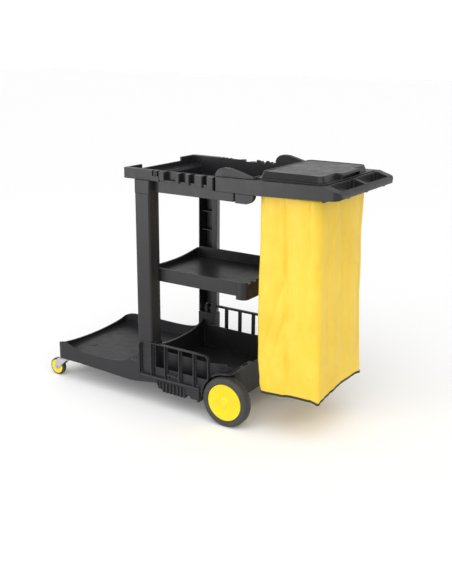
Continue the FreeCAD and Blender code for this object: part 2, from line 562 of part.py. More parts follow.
# ---------------------------------------------------------------- lid
def lid():
    """Shallow cover: a flat border, a raised middle with a narrow rim and a tab to lift it by."""
    x0, x1 = LID_BLOCK
    half = LID_BLOCK_HALF
    border = rounded(LID_X0, LID_X1, -LID_HALF, LID_HALF, LID_SEAT, LID_FLANGE, (9, 24, 24, 9))
    border = soften(border, 1.5, lambda e: e.BoundBox.ZMin > LID_FLANGE - 0.1)
    under = rounded(LID_X0 + 17, LID_X1 - 4, -LID_HALF + 4, LID_HALF - 4, LID_SEAT - 5, LID_FLANGE - 3,
                    (8, 20, 20, 8))
    lean = LID_SLOPE
    foot = rounded(x0, x1, -half, half, 0, 1, (24, 24, 24, 24))
    head = rounded(x0 + lean, x1 - lean, -half + lean, half - lean, 0, 1, (17, 17, 17, 17))
    foot_in = rounded(x0 + 3, x1 - 3, -half + 3, half - 3, 0, 1, (21, 21, 21, 21))
    head_in = rounded(x0 + lean + 3, x1 - lean - 3, -half + lean + 3, half - lean - 3, 0, 1, (14, 14, 14, 14))
    middle = loft(foot, LID_FLANGE - 1, head, LID_TOP)
    hollow = loft(foot_in, LID_SEAT - 1, head_in, LID_TOP - 4)
    inset = lean + 5
    panel = rounded(x0 + inset, x1 - inset, -half + inset, half - inset, LID_TOP - 1.5, LID_TOP + 5,
                    (12, 12, 12, 12))
    tab = rounded(x1 - lean - 6, LID_X1, -LID_TAB_HALF, LID_TAB_HALF, LID_SEAT, LID_TOP, (1, 7, 7, 1))
    tab = soften(tab, 6.0, lambda e: e.BoundBox.ZMin > LID_TOP - 0.1 and e.BoundBox.XMax > x1 + 2)
    lip = box(LID_X1 - 20, LID_X1 + 10, -LID_TAB_HALF + 4, LID_TAB_HALF - 4, LID_FLANGE, LID_TOP - 8.3)
    shell = fuse_all([border.cut(under), middle.cut(hollow), tab])
    shell = cut_all(shell, [panel, lip])
    knuckle = both(rod(LID_HINGE[0], -LID_HALF + 0.5, LID_HINGE[1], (0, 1, 0), 4.8, 24))
    bore = rod(LID_HINGE[0], -LID_HALF - 5, LID_HINGE[1], (0, 1, 0), LID_PIN_R + 0.05, 2 * LID_HALF + 10)
    return fuse_all([shell, knuckle]).cut(bore)


def loft(low, low_z, high, high_z):
    """Tapered solid between the plan outlines of two upright prisms."""
    wires = []
    for prism, z in ((low, low_z), (high, high_z)):
        wire = min(prism.Faces, key=lambda f: f.CenterOfMass.z).OuterWire.copy()
        wire.translate(Vector(0, 0, z))
        wires.append(wire)
    return Part.makeLoft(wires, True, True)


def lid_pins():
    left = rod(LID_HINGE[0], -FRAME_OPEN_HALF - 8, LID_HINGE[1], (0, 1, 0), LID_PIN_R, 30)
    return [left, mirrored(left)]


# ---------------------------------------------------------------- bag
def bag():
    neck = rounded(BAG_X0, BAG_X1, -BAG_HALF, BAG_HALF, BAG_SHOULDER - 3, 924, (14, 14, 14, 14))
    neck_in = rounded(BAG_X0 + BAG_WALL, BAG_X1 - BAG_WALL, -BAG_HALF + BAG_WALL, BAG_HALF - BAG_WALL,
                      BAG_SHOULDER - 4, 950, (12, 12, 12, 12))
    half = BAG_HALF + BAG_BULGE
    wide = rounded(BAG_FRONT, BAG_X1, -half, half, BAG_BOTTOM, BAG_SHOULDER, (14, 14, 14, 14))
    wide_in = rounded(BAG_FRONT + BAG_WALL, BAG_X1 - BAG_WALL, -half + BAG_WALL, half - BAG_WALL,
                      BAG_BOTTOM + BAG_WALL, BAG_SHOULDER - BAG_WALL, (12, 12, 12, 12))
    hem = rounded(BAG_X0 + 8, BAG_X1 - 8, -BAG_HALF + 3, BAG_HALF - 3, 924, BAG_TOP, (9, 9, 9, 9))
    hem_in = rounded(BAG_X0 + 18, BAG_X1 - 18, -BAG_HALF + 13, BAG_HALF - 13, 920, BAG_TOP + 5, (5, 5, 5, 5))
    shoulder = rounded(BAG_X0 + 1, BAG_X1 - 1, -BAG_HALF + 1, BAG_HALF - 1, 921, 925, (13, 13, 13, 13))
    body = fuse_all([neck, wide]).cut(wide_in).cut(neck_in)
    top = fuse_all([hem, shoulder]).cut(hem_in)
    slots = []
    for y in (-120, 120):
        slots.append(box(980, 1006, y - 15, y + 15, 914, 934.5))
        slots.append(box(1216, 1242, y - 15, y + 15, 914, 934.5))
    return cut_all(fuse_all([body, top]), [hoop_path(3.05)] + slots)


def hoop_path(radius):
    """Rectangular ring of round wire inside the bag's hem."""
    x0, x1, half, z = BAG_X0 + 13, BAG_X1 - 13, BAG_HALF - 8, 931.0
    bars = [
        rod(x0, -half, z, (1, 0, 0), radius, x1 - x0),
        rod(x0, half, z, (1, 0, 0), radius, x1 - x0),
        rod(x0, -half, z, (0, 1, 0), radius, 2 * half),
        rod(x1, -half, z, (0, 1, 0), radius, 2 * half),
    ]
    knees = [Part.makeSphere(radius, Vector(x, y, z)) for x in (x0, x1) for y in (-half, half)]
    return fuse_all(bars + knees)


def bag_piping():
    """Bound edge round the bottom of the bag."""
    half = BAG_HALF + BAG_BULGE
    outer = rounded(BAG_FRONT - 1.5, BAG_X1 + 1.5, -half - 1.5, half + 1.5, BAG_BOTTOM - 2,
                    BAG_BOTTOM + 6, (15, 15, 15, 15))
    inner = rounded(BAG_FRONT, BAG_X1, -half, half, BAG_BOTTOM, BAG_BOTTOM + 8, (14, 14, 14, 14))
    hole = rounded(BAG_FRONT + 8, BAG_X1 - 8, -half + 8, half - 8, BAG_BOTTOM - 5, BAG_BOTTOM + 5,
                   (8, 8, 8, 8))
    return outer.cut(inner).cut(hole)


# ---------------------------------------------------------------- side racks
BAR_STARTS = (53.0, 121.0, 190.0, 258.0)
BAR_WIDTH = 17.0


def rack(corner):
    """Folding grille outside the tool slot, drawn for the left side."""
    x0, z0 = corner
    x1, z1 = x0 + RACK_LENGTH, z0 + RACK_HEIGHT
    zr = z0 + 6
    plate = slab(x0, x1, z0 + 1, z1, -RACK_BACK - 4, -RACK_BACK, 22)
    window = slab(x0 + 9, x1 - 9, z0 + 12, z1 - 8, -RACK_BACK - 10, -RACK_BACK + 5, 15)
    rim = slab(x0, x1, z0 + 1, z1, -RACK_FRONT, -RACK_BACK, 22)
    rim = rim.cut(slab(x0 + 4, x1 - 4, z0 + 5, z1 - 4, -RACK_FRONT - 5, -RACK_BACK + 5, 18))
    pieces = [plate.cut(window), rim]
    for start in BAR_STARTS:
        left = x0 + start
        centre = left + 0.5 * BAR_WIDTH
        pieces.append(box(left, left + BAR_WIDTH, -RACK_BACK - 4, -RACK_BACK, z0 + 8, z1 - 5))
        pieces.append(box(centre - 2, centre + 2, -RACK_FRONT, -RACK_BACK, z0 + 4, z1 - 2))
    ledge_x = x0 + BAR_STARTS[1] + BAR_WIDTH
    ledge_end = x0 + BAR_STARTS[2]
    pieces.append(box(ledge_x - 1, ledge_end + 1, -RACK_BACK - 4, -RACK_BACK, z0 + 8, z0 + 36))
    pieces.append(box(ledge_x + 2, ledge_end - 8, -RACK_FRONT + 1, -RACK_BACK - 2, z0 + 30, z0 + 35))
    arch_x, arch_z = x0 + RACK_ARCH[0], z0 + RACK_ARCH[1]
    arch = rod(arch_x, -RACK_FRONT, arch_z, (0, 1, 0), RACK_ARCH_R + 6, RACK_FRONT - RACK_BACK)
    arch = arch.common(box(x0 + 284, x1 - 1, -RACK_FRONT, -RACK_BACK, z0 + 10, z1))
    gusset = box(x0 + 270, x0 + 312, -RACK_BACK - 4, -RACK_BACK, z0 + 8, z0 + 20)
    hinge = rod(x0 + 0.5, -RACK_AXIS_Y, zr, (1, 0, 0), 6.0, RACK_HINGE_END - 0.5)
    body = fuse_all(pieces + [arch, gusset, hinge])
    hook = slab(ledge_x + 6, ledge_end - 6, z0 + 14, z0 + 27, -RACK_FRONT - 5, -RACK_BACK + 5, 5)
    trim = [
        rod(arch_x, -RACK_FRONT - 5, arch_z, (0, 1, 0), RACK_ARCH_R, 30),
        box(x0 - 5, x1 + 5, -RACK_FRONT - 5, -RACK_AXIS_Y - 6.1, z0 - 5, z0 + 6),
        rod(x0 - 1, -RACK_AXIS_Y, zr, (1, 0, 0), 3.05, 12),
        rod(x0 + RACK_HINGE_END - 11, -RACK_AXIS_Y, zr, (1, 0, 0), 3.05, 12),
        rod(x0 + RACK_HINGE_END, -RACK_AXIS_Y, zr, (1, 0, 0), 9.5, 60),
        hook,
    ]
    heel = box(x0 - 5, x1 + 5, -RACK_AXIS_Y, -RACK_BACK + 5, z0 - 5, zr)
    heel = heel.cut(rod(x0 - 6, -RACK_AXIS_Y, zr, (1, 0, 0), 6.0, RACK_LENGTH + 12))
    toe = box(x0 - 5, x1 + 5, -RACK_FRONT - 5, -RACK_AXIS_Y, z0 - 5, zr)
    toe = toe.cut(rod(x0 - 6, -RACK_AXIS_Y, zr, (1, 0, 0), 6.0, RACK_LENGTH + 12))
    return cut_all(body, trim + [heel, toe])


def slab(x0, x1, z0, z1, y0, y1, radius):
    """Plate in the XZ plane with rounded corners."""
    flat = rounded(x0, x1, z0, z1, 0, y1 - y0, (radius,) * 4)
    flat.rotate(Vector(0, 0, 0), Vector(1, 0, 0), 90)
    flat.translate(Vector(0, y1, 0))
    return flat


def rack_pins(corner):
    x0, z0 = corner
    pins = []
    for x in (x0 - 6.5, x0 + RACK_HINGE_END - 9.5):
        pins.append(rod(x, -RACK_AXIS_Y, z0 + 6, (1, 0, 0), 3.0, 16))
    return pins


# ---------------------------------------------------------------- rear wheels
def wheel_tyre():
    """Solid rubber tyre of the left rear wheel."""
    y0 = -CART_WIDTH / 2 + 1
    half = WHEEL_W / 2
    points = [(WHEEL_HUB_R, -half + 5), (WHEEL_HUB_R + 3, -half + 1), (WHEEL_R - 9, -half),
              (WHEEL_R - 3, -half + 4), (WHEEL_R, -half + 11), (WHEEL_R, half - 11),
              (WHEEL_R - 3, half - 4), (WHEEL_R - 9, half), (WHEEL_HUB_R + 3, half - 1),
              (WHEEL_HUB_R, half - 5)]
    return turned(points, WHEEL_X, y0 + half, WHEEL_R)


def wheel_hub():
    """Moulded disc hub of the left rear wheel, with its bearing sleeve."""
    y0 = -CART_WIDTH / 2 + 1
    half = WHEEL_W / 2
    bore = AXLE_R + 0.05
    points = [(bore, -half + 1.5), (13, -half + 0.5), (17, -half + 2), (21, -half + 4.5),
              (WHEEL_HUB_R - 8, -half + 3.5), (WHEEL_HUB_R - 5, -half + 1.2),
              (WHEEL_HUB_R - 0.05, -half + 1.5), (WHEEL_HUB_R - 0.05, half - 1.5),
              (WHEEL_HUB_R - 5, half - 1.5), (WHEEL_HUB_R - 6, -half + 8), (21, -half + 9),
              (18, half + 2), (bore, half + 2)]
    disc = turned(points, WHEEL_X, y0 + half, WHEEL_R)
    spokes = []
    for index in range(12):
        spoke = box(20, WHEEL_HUB_R - 6.5, y0 + 6, y0 + 30, -1.5, 1.5)
        spoke.rotate(Vector(0, 0, 0), Vector(0, 1, 0), 30 * index)
        spoke.translate(Vector(WHEEL_X, 0, WHEEL_R))
        spokes.append(spoke)
    for index in range(18):
        ridge = box(22, WHEEL_HUB_R - 7, y0 + 3.3, y0 + 6, -0.8, 0.8)
        ridge.rotate(Vector(0, 0, 0), Vector(0, 1, 0), 20 * index)
        ridge.translate(Vector(WHEEL_X, 0, WHEEL_R))
        spokes.append(ridge)
    return fuse_all([disc] + spokes)


def turned(points, x, y, z):
    """Ring turned about an axis along Y from (radius, offset) points."""
    wire = Part.makePolygon([Vector(x + r, y + offset, z) for r, offset in points + points[:1]])
    return Part.Face(wire).revolve(Vector(x, y, z), Vector(0, 1, 0), 360)


def axle():
    return rod(WHEEL_X, -CART_WIDTH / 2 + 1.5, WHEEL_R, (0, 1, 0), AXLE_R, CART_WIDTH - 3)


def axle_cap():
    """Push-on cap that keeps the left wheel on its axle."""
    y0 = -CART_WIDTH / 2
    return turned([(0, 0), (6, 0.2), (11, 1.0), (11, 1.6), (AXLE_R, 1.6), (AXLE_R, 1.5), (0, 1.5)],
                  WHEEL_X, y0, WHEEL_R)


def axle_bracket(y):
    """Bearing block that hangs from the underside of the bin."""
    block = prism_y([(WHEEL_X - 34, 122.9), (WHEEL_X - 34, 117), (WHEEL_X - 16, 112), (WHEEL_X - 14, 90),
                     (WHEEL_X + 10.8, 90), (WHEEL_X + 10.8, 122.9)],
                    y - 9, y + 9)
    return block.cut(rod(WHEEL_X, y - 20, WHEEL_R, (0, 1, 0), AXLE_R, 40))


# ---------------------------------------------------------------- casters
def caster_stem():
    stem = rod(CASTER_X, -CASTER_Y, CASTER_TOP - 14, (0, 0, 1), 5.95, 38)
    race = rod(CASTER_X, -CASTER_Y, CASTER_TOP - 6, (0, 0, 1), 21, 6)
    return fuse_all([stem, race])


def caster_bearing():
    """Ball race between the stem's washer and the fork."""
    ring = rod(CASTER_X, -CASTER_Y, CASTER_TOP - 10.5, (0, 0, 1), 19, 4.3)
    return ring.cut(rod(CASTER_X, -CASTER_Y, CASTER_TOP - 20, (0, 0, 1), 6.0, 30))


def caster_fork():
    top = CASTER_TOP - 10.7
    wheel_x = CASTER_X - CASTER_TRAIL
    crown = rod(CASTER_X, -CASTER_Y, top - 3, (0, 0, 1), 20, 3)
    strap = box(wheel_x + 16, CASTER_X, -CASTER_Y - 16.5, -CASTER_Y + 16.5, top - 3, top)
    outline = [(wheel_x - 9, CASTER_R - 6), (wheel_x, CASTER_R - 11), (wheel_x + 9, CASTER_R - 6),
               (CASTER_X + 8, top - 5), (CASTER_X + 8, top - 1), (wheel_x + 10, top - 1),
               (wheel_x - 9, CASTER_R + 8)]
    legs = [prism_y(outline, -CASTER_Y - 16.5, -CASTER_Y - 14),
            prism_y(outline, -CASTER_Y + 14, -CASTER_Y + 16.5)]
    fork = fuse_all([crown, strap] + legs)
    fork = fork.cut(rod(CASTER_X, -CASTER_Y, top - 10, (0, 0, 1), 6.05, 20))
    return fork.cut(rod(wheel_x, -CASTER_Y - 30, CASTER_R, (0, 1, 0), 4.0, 60))


def caster_bolt():
    x = CASTER_X - CASTER_TRAIL
    shank = rod(x, -CASTER_Y - 18, CASTER_R, (0, 1, 0), 4.0, 38)
    head = rod(x, -CASTER_Y - 20.5, CASTER_R, (0, 1, 0), 7.0, 4)
    nut = rod(x, -CASTER_Y + 16.5, CASTER_R, (0, 1, 0), 7.0, 4)
    return fuse_all([shank, head, nut])


def caster_kingpin():
    """Peened collar that holds the fork on the stem."""
    top = CASTER_TOP - 14
    collar = rod(CASTER_X, -CASTER_Y, top - 3.2, (0, 0, 1), 9, 3.2)
    return collar


def caster_hub():
    x = CASTER_X - CASTER_TRAIL
    half = CASTER_W / 2
    points = [(4.05, -half - 2), (8, -half - 2), (9, -half + 1), (12, -half + 2), (23, -half + 2),
              (26, -half), (CASTER_HUB_R - 0.05, -half), (CASTER_HUB_R - 0.05, half), (26, half),
              (23, half - 2), (12, half - 2), (9, half - 1), (8, half + 2), (4.05, half + 2)]
    return turned(points, x, -CASTER_Y, CASTER_R)


def caster_tyre():
    x = CASTER_X - CASTER_TRAIL
    half = CASTER_W / 2
    points = [(CASTER_HUB_R, -half + 0.5), (CASTER_R - 2.5, -half + 0.5), (CASTER_R - 0.6, -half + 3),
              (CASTER_R, -half + 7), (CASTER_R, half - 7), (CASTER_R - 0.6, half - 3),
              (CASTER_R - 2.5, half - 0.5), (CASTER_HUB_R, half - 0.5)]
    return turned(points, x, -CASTER_Y, CASTER_R)


# ---------------------------------------------------------------- write the pieces
save("base_platform", base_platform())
for side, flip in (("left", False), ("right", True)):
    def placed(shape):
        return mirrored(shape) if flip else shape

    corner = RIGHT_RACK if flip else LEFT_RACK
    save(side + "_column", placed(column(corner)))
    save(side + "_rack", placed(rack(corner)))
    save(side + "_rack_pins", [placed(pin) for pin in rack_pins(corner)])
    save(side + "_wheel_tyre", placed(wheel_tyre()))
    save(side + "_wheel_hub", placed(wheel_hub()))
    save(side + "_axle_cap", placed(axle_cap()))
    save(side + "_axle_bracket", placed(axle_bracket(-136)))
    save(side + "_caster_stem", placed(caster_stem()))
    save(side + "_caster_bearing", placed(caster_bearing()))
    save(side + "_caster_fork", placed(caster_fork()))
    save(side + "_caster_collar", placed(caster_kingpin()))
    save(side + "_caster_bolt", placed(caster_bolt()))
    save(side + "_caster_hub", placed(caster_hub()))
    save(side + "_caster_tyre", placed(caster_tyre()))
save("rear_axle", axle())
save("middle_shelf", middle_shelf())
save("top_tray", top_tray())
save("left_tool_comb", tool_comb())
save("right_tool_comb", cut_all(mirrored(tool_comb()), right_dips()))
save("bag_frame", bag_frame())
save("lid", lid())
save("lid_pins", lid_pins())
save("bag", bag())
save("bag_hoop", hoop_path(3.0))
save("bag_piping", bag_piping())
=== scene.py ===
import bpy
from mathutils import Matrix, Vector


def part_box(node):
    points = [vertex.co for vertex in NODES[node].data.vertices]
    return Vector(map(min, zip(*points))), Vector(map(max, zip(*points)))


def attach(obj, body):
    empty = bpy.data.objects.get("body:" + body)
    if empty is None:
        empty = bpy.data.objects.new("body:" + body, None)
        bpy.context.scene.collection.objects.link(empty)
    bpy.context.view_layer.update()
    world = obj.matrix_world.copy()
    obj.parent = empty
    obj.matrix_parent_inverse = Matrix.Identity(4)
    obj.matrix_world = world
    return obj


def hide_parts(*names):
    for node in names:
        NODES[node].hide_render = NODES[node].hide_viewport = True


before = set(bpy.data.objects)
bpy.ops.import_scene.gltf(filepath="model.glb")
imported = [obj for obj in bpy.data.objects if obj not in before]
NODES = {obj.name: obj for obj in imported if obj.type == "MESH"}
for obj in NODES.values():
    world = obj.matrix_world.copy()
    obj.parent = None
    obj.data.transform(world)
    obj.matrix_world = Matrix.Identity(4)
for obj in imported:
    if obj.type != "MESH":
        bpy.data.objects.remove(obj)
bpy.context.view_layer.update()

import math
import random

import bmesh
import bpy
from mathutils import Matrix, Vector, noise

# Lengths in this script are millimetres, counted like the CAD's: X from the front of the
# platform towards the push handle, Y = 0 in the middle, Z = 0 on the floor.
MM = 0.001
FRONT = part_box("base_platform")[0].x
random.seed(11)


def at(x, y, z):
    """A place in the scene, in metres, from millimetres in the cart's own measure."""
    return Vector((FRONT + x * MM, y * MM, z * MM))


# ---------------------------------------------------------------- camera and light
CAMERA_PLACE = (2443.4, -2679.5, 1415.8)
CAMERA_AZIMUTH = math.radians(32.83)
CAMERA_ELEVATION = math.radians(16.79)
CAMERA_ROLL = math.radians(0.43)
LENS = 51.33
SENSOR = 36.0


def make_camera():
    a, e, r = CAMERA_AZIMUTH, CAMERA_ELEVATION, CAMERA_ROLL
    back = Vector((math.sin(a) * math.cos(e), -math.cos(a) * math.cos(e), math.sin(e)))
    right = Vector((math.cos(a), math.sin(a), 0))
    up = back.cross(right)
    right, up = (math.cos(r) * right + math.sin(r) * up, -math.sin(r) * right + math.cos(r) * up)
    data = bpy.data.cameras.new("camera")
    data.sensor_fit = "VERTICAL"
    data.sensor_height = SENSOR
    data.lens = LENS
    camera = bpy.data.objects.new("camera", data)
    bpy.context.scene.collection.objects.link(camera)
    turn = Matrix((right, up, back)).transposed().to_4x4()
    camera.matrix_world = Matrix.Translation(at(*CAMERA_PLACE)) @ turn
    bpy.context.scene.camera = camera


def area_light(name, place, target, size, power):
    """Soft rectangular light aimed at a point."""
    data = bpy.data.lights.new(name, "AREA")
    data.shape = "RECTANGLE"
    data.size, data.size_y = size
    data.energy = power
    lamp = bpy.data.objects.new(name, data)
    bpy.context.scene.collection.objects.link(lamp)
    lamp.location = Vector(place)
    lamp.rotation_euler = (Vector(target) - Vector(place)).to_track_quat("-Z", "Y").to_euler()


def sun_light(name, towards, strength, spread):
    """Very soft even light that comes from the given direction."""
    data = bpy.data.lights.new(name, "SUN")
    data.energy = strength
    data.angle = math.radians(spread)
    lamp = bpy.data.objects.new(name, data)
    lamp.rotation_euler = Vector(towards).to_track_quat("Z", "Y").to_euler()
    bpy.context.scene.collection.objects.link(lamp)


WALL_LIGHT = 1.05           # the studio's white walls
CEILING_LIGHT = 0.4
FADE_FROM = 0.12            # height of a ray's direction where the walls start to darken
FADE_TO = 0.6


def make_studio():
    """White studio that is darker overhead, one key light and one broad soft light."""
    scene = bpy.context.scene
    scene.view_settings.view_transform = "Standard"
    world = bpy.data.worlds.new("studio")
    world.use_nodes = True
    background = world.node_tree.nodes["Background"]
    background.inputs["Color"].default_value = (1.0, 1.0, 1.0, 1)
    links = world.node_tree.links
    direction = world.node_tree.nodes.new("ShaderNodeTexCoord").outputs["Generated"]
    parts = world.node_tree.nodes.new("ShaderNodeSeparateXYZ")
    fade = world.node_tree.nodes.new("ShaderNodeMapRange")
    fade.interpolation_type = "SMOOTHSTEP"
    fade.inputs["From Min"].default_value = FADE_FROM
    fade.inputs["From Max"].default_value = FADE_TO
    fade.inputs["To Min"].default_value = WALL_LIGHT
    fade.inputs["To Max"].default_value = CEILING_LIGHT
    links.new(direction, parts.inputs[0])
    links.new(parts.outputs["Z"], fade.inputs["Value"])
    links.new(fade.outputs["Result"], background.inputs["Strength"])
    scene.world = world
    area_light("key", (-1.7, -3.2, 0.9), (0, 0, 0.55), (1.9, 1.5), 46)
    sun_light("Sky", (0.35, -0.45, 0.85), 2.1, 75)


def make_floor():
    """Plain pale floor."""
    mesh = bpy.data.meshes.new("floor")
    form = bmesh.new()
    bmesh.ops.create_grid(form, x_segments=1, y_segments=1, size=30)
    form.to_mesh(mesh)
    form.free()
    floor = bpy.data.objects.new("floor", mesh)
    bpy.context.scene.collection.objects.link(floor)
    mat = bpy.data.materials.new("floor")
    mat.use_nodes = True
    shader = mat.node_tree.nodes["Principled BSDF"]
    shader.inputs["Base Color"].default_value = (0.95, 0.95, 0.95, 1)
    shader.inputs["Roughness"].default_value = 0.9
    shader.inputs["Specular IOR Level"].default_value = 0.1
    floor.data.materials.append(mat)


# ---------------------------------------------------------------- materials
class Nodes:
    """Short calls for building a material's node tree."""

    def __init__(self, name):
        self.material = bpy.data.materials.new(name)
        self.material.use_nodes = True
        self.tree = self.material.node_tree
        self.shader = self.tree.nodes["Principled BSDF"]
        self.place = self.tree.nodes.new("ShaderNodeTexCoord").outputs["Object"]

    def put(self, kind, settings=None, links=None):
        node = self.tree.nodes.new("ShaderNode" + kind)
        for key, value in (settings or {}).items():
            if key in node.inputs:
                node.inputs[key].default_value = value
            else:
                setattr(node, key, value)
        for key, source in (links or {}).items():
            self.tree.links.new(source, node.inputs[key])
        return node

    def noise(self, scale, detail=3.0, rough=0.55, stretch=(1, 1, 1)):
        where = self.put("Mapping", {"Scale": stretch}, {"Vector": self.place}).outputs[0]
        node = self.put("TexNoise", {"Scale": scale, "Detail": detail, "Roughness": rough}, {"Vector": where})
        return node.outputs["Fac"]

    def ramp(self, value, low, high, low_to=0.0, high_to=1.0):
        node = self.put("MapRange", {"From Min": low, "From Max": high, "To Min": low_to, "To Max": high_to},
                        {"Value": value})
        return node.outputs["Result"]

    def mix(self, factor, first, second):
        node = self.put("Mix", {"data_type": "RGBA"})
        self.tree.links.new(factor, node.inputs["Factor"])
        for socket, value in ((node.inputs[6], first), (node.inputs[7], second)):
            if isinstance(value, tuple):
                socket.default_value = (*value, 1)
            else:
                self.tree.links.new(value, socket)
        return node.outputs[2]

    def math(self, kind, first, second):
        node = self.put("Math", {"operation": kind})
        for socket, value in ((node.inputs[0], first), (node.inputs[1], second)):
            if isinstance(value, float):
                socket.default_value = value
            else:
                self.tree.links.new(value, socket)
        return node.outputs[0]

    def bump(self, height, strength, distance, normal=None):
        node = self.put("Bump", {"Strength": strength, "Distance": distance}, {"Height": height})
        if normal is not None:
            self.tree.links.new(normal, node.inputs["Normal"])
        return node.outputs[0]

    def edges(self, radius):
        """Rounded normal, and a mask that is 1 on outside and inside edges."""
        rounded = self.put("Bevel", {"samples": 6, "Radius": radius}).outputs[0]
        flat = self.put("NewGeometry").outputs["Normal"]
        dot = self.put("VectorMath", {"operation": "DOT_PRODUCT"})
        self.tree.links.new(rounded, dot.inputs[0])
        self.tree.links.new(flat, dot.inputs[1])
        return rounded, self.ramp(dot.outputs["Value"], 0.995, 0.86)

    def finish(self, colour, rough, normal, **fixed):
        self.tree.links.new(colour, self.shader.inputs["Base Color"])
        self.tree.links.new(rough, self.shader.inputs["Roughness"])
        self.tree.links.new(normal, self.shader.inputs["Normal"])
        for key, value in fixed.items():
            self.shader.inputs[key.replace("_", " ")].default_value = value
        return self.material


def moulded_plastic(name, colour, wear_and_highlight_colour, rough=0.42, bevel=1.6 * MM):
    """Satin polypropylene: fine moulded grain, cloudy gloss, outside and inside edges painted lighter, partly
    as rubbed wear and partly as a painted highlight.
    """
    n = Nodes(name)
    clouds = n.noise(5.0, 4.0)
    grain = n.noise(850.0, 2.0)
    flow = n.noise(26.0, 3.0, 0.6, (1, 1, 0.25))
    scuffs = n.noise(60.0, 6.0, 0.7, (0.2, 1, 1))
    rounded, edge = n.edges(bevel)
    darker = tuple(0.82 * c for c in colour)
    base = n.mix(n.ramp(clouds, 0.35, 0.65), darker, colour)
    # outside and inside edges are painted lighter: partly rubbed wear, partly a painted highlight
    edge_wear_and_highlight = n.math("MULTIPLY", edge, n.ramp(scuffs, 0.3, 0.62, 0.25, 1.0))
    base = n.mix(edge_wear_and_highlight, base, wear_and_highlight_colour)
    gloss = n.ramp(flow, 0.3, 0.7, rough - 0.05, rough + 0.06)
    shine = n.math("ADD", gloss, n.ramp(scuffs, 0.55, 0.75, 0.0, 0.09))
    height = n.math("ADD", grain, n.math("MULTIPLY", flow, 0.35))
    return n.finish(base, shine, n.bump(height, 0.16, 0.25 * MM, rounded), Specular_IOR_Level=0.3)


def vinyl():
    """Soft coated bag cloth: faint weave under the coat, fine random wrinkles, slightly shiny."""
    n = Nodes("bag_vinyl")
    clouds = n.noise(6.0, 4.0)
    crinkle = n.noise(30.0, 4.0, 0.55, (1, 1, 0.5))
    warp = n.put("TexWave", {"Scale": 420.0, "bands_direction": "Z", "Distortion": 0.6}, {"Vector": n.place})
    weft = n.put("TexWave", {"Scale": 420.0, "bands_direction": "DIAGONAL", "Distortion": 0.6},
                 {"Vector": n.place})
    weave = n.math("ADD", warp.outputs["Fac"], weft.outputs["Fac"])
    colour = n.mix(n.ramp(clouds, 0.35, 0.65), (0.78, 0.50, 0.034), (0.84, 0.555, 0.048))
    colour = n.mix(n.ramp(crinkle, 0.45, 0.75, 0.0, 0.35), colour, (0.86, 0.66, 0.10))
    rough = n.ramp(crinkle, 0.3, 0.7, 0.42, 0.52)
    height = n.math("ADD", n.math("MULTIPLY", weave, 0.05), crinkle)
    material = n.finish(colour, rough, n.bump(height, 0.3, 0.7 * MM), Specular_IOR_Level=0.35,
                        Subsurface_Weight=0.12, Subsurface_Scale=0.01)
    n.shader.inputs["Subsurface Radius"].default_value = (1.0, 0.7, 0.2)
    return material


def binding_tape():
    """Dark woven tape with a ribbed weave."""
    n = Nodes("bag_binding")
    ribs = n.put("TexWave", {"Scale": 300.0, "bands_direction": "DIAGONAL", "Distortion": 0.3},
                 {"Vector": n.place})
    fuzz = n.noise(900.0, 2.0)
    colour = n.mix(ribs.outputs["Fac"], (0.012, 0.009, 0.006), (0.045, 0.033, 0.022))
    height = n.math("ADD", ribs.outputs["Fac"], n.math("MULTIPLY", fuzz, 0.5))
    return n.finish(colour, n.ramp(fuzz, 0.3, 0.7, 0.7, 0.85), n.bump(height, 0.5, 0.4 * MM))


def wheel_yellow():
    """Injection-moulded yellow wheel plastic with a polished face."""
    n = Nodes("hub_yellow")
    clouds = n.noise(18.0, 3.0)
    scuffs = n.noise(110.0, 6.0, 0.7)
    rounded, _ = n.edges(0.9 * MM)
    colour = n.mix(n.ramp(clouds, 0.35, 0.65), (0.72, 0.54, 0.0), (0.79, 0.61, 0.002))
    colour = n.mix(n.ramp(scuffs, 0.62, 0.8, 0.0, 0.35), colour, (0.75, 0.55, 0.02))
    return n.finish(colour, n.ramp(scuffs, 0.4, 0.75, 0.28, 0.45), n.bump(clouds, 0.08, 0.4 * MM, rounded))


def rubber(name, colour):
    """Tyre rubber: dusty grey, fine pitting, slightly paler where it rolls."""
    n = Nodes(name)
    dust = n.noise(35.0, 5.0, 0.65)
    pits = n.noise(700.0, 3.0)
    rounded, _ = n.edges(1.2 * MM)
    pale = tuple(min(1.0, 1.7 * c) for c in colour)
    base = n.mix(n.ramp(dust, 0.42, 0.72), colour, pale)
    return n.finish(base, n.ramp(dust, 0.3, 0.7, 0.5, 0.68), n.bump(pits, 0.22, 0.3 * MM, rounded))


def bright_metal(name, colour, rough, brushed=(1, 1, 1)):
    """Zinc or drawn steel: faint streaks, spangle and a few dull spots."""
    n = Nodes(name)
    streaks = n.noise(160.0, 4.0, 0.6, brushed)
    spangle = n.put("TexVoronoi", {"Scale": 220.0}, {"Vector": n.place}).outputs["Distance"]
    rounded, _ = n.edges(0.6 * MM)
    dull = tuple(0.72 * c for c in colour)
    base = n.mix(n.ramp(streaks, 0.35, 0.7), dull, colour)
    gloss = n.ramp(spangle, 0.0, 0.8, rough - 0.06, rough + 0.06)
    shine = n.math("ADD", gloss, n.ramp(streaks, 0.5, 0.8, 0.0, 0.1))
    return n.finish(base, shine, n.bump(streaks, 0.08, 0.2 * MM, rounded), Metallic=1.0)


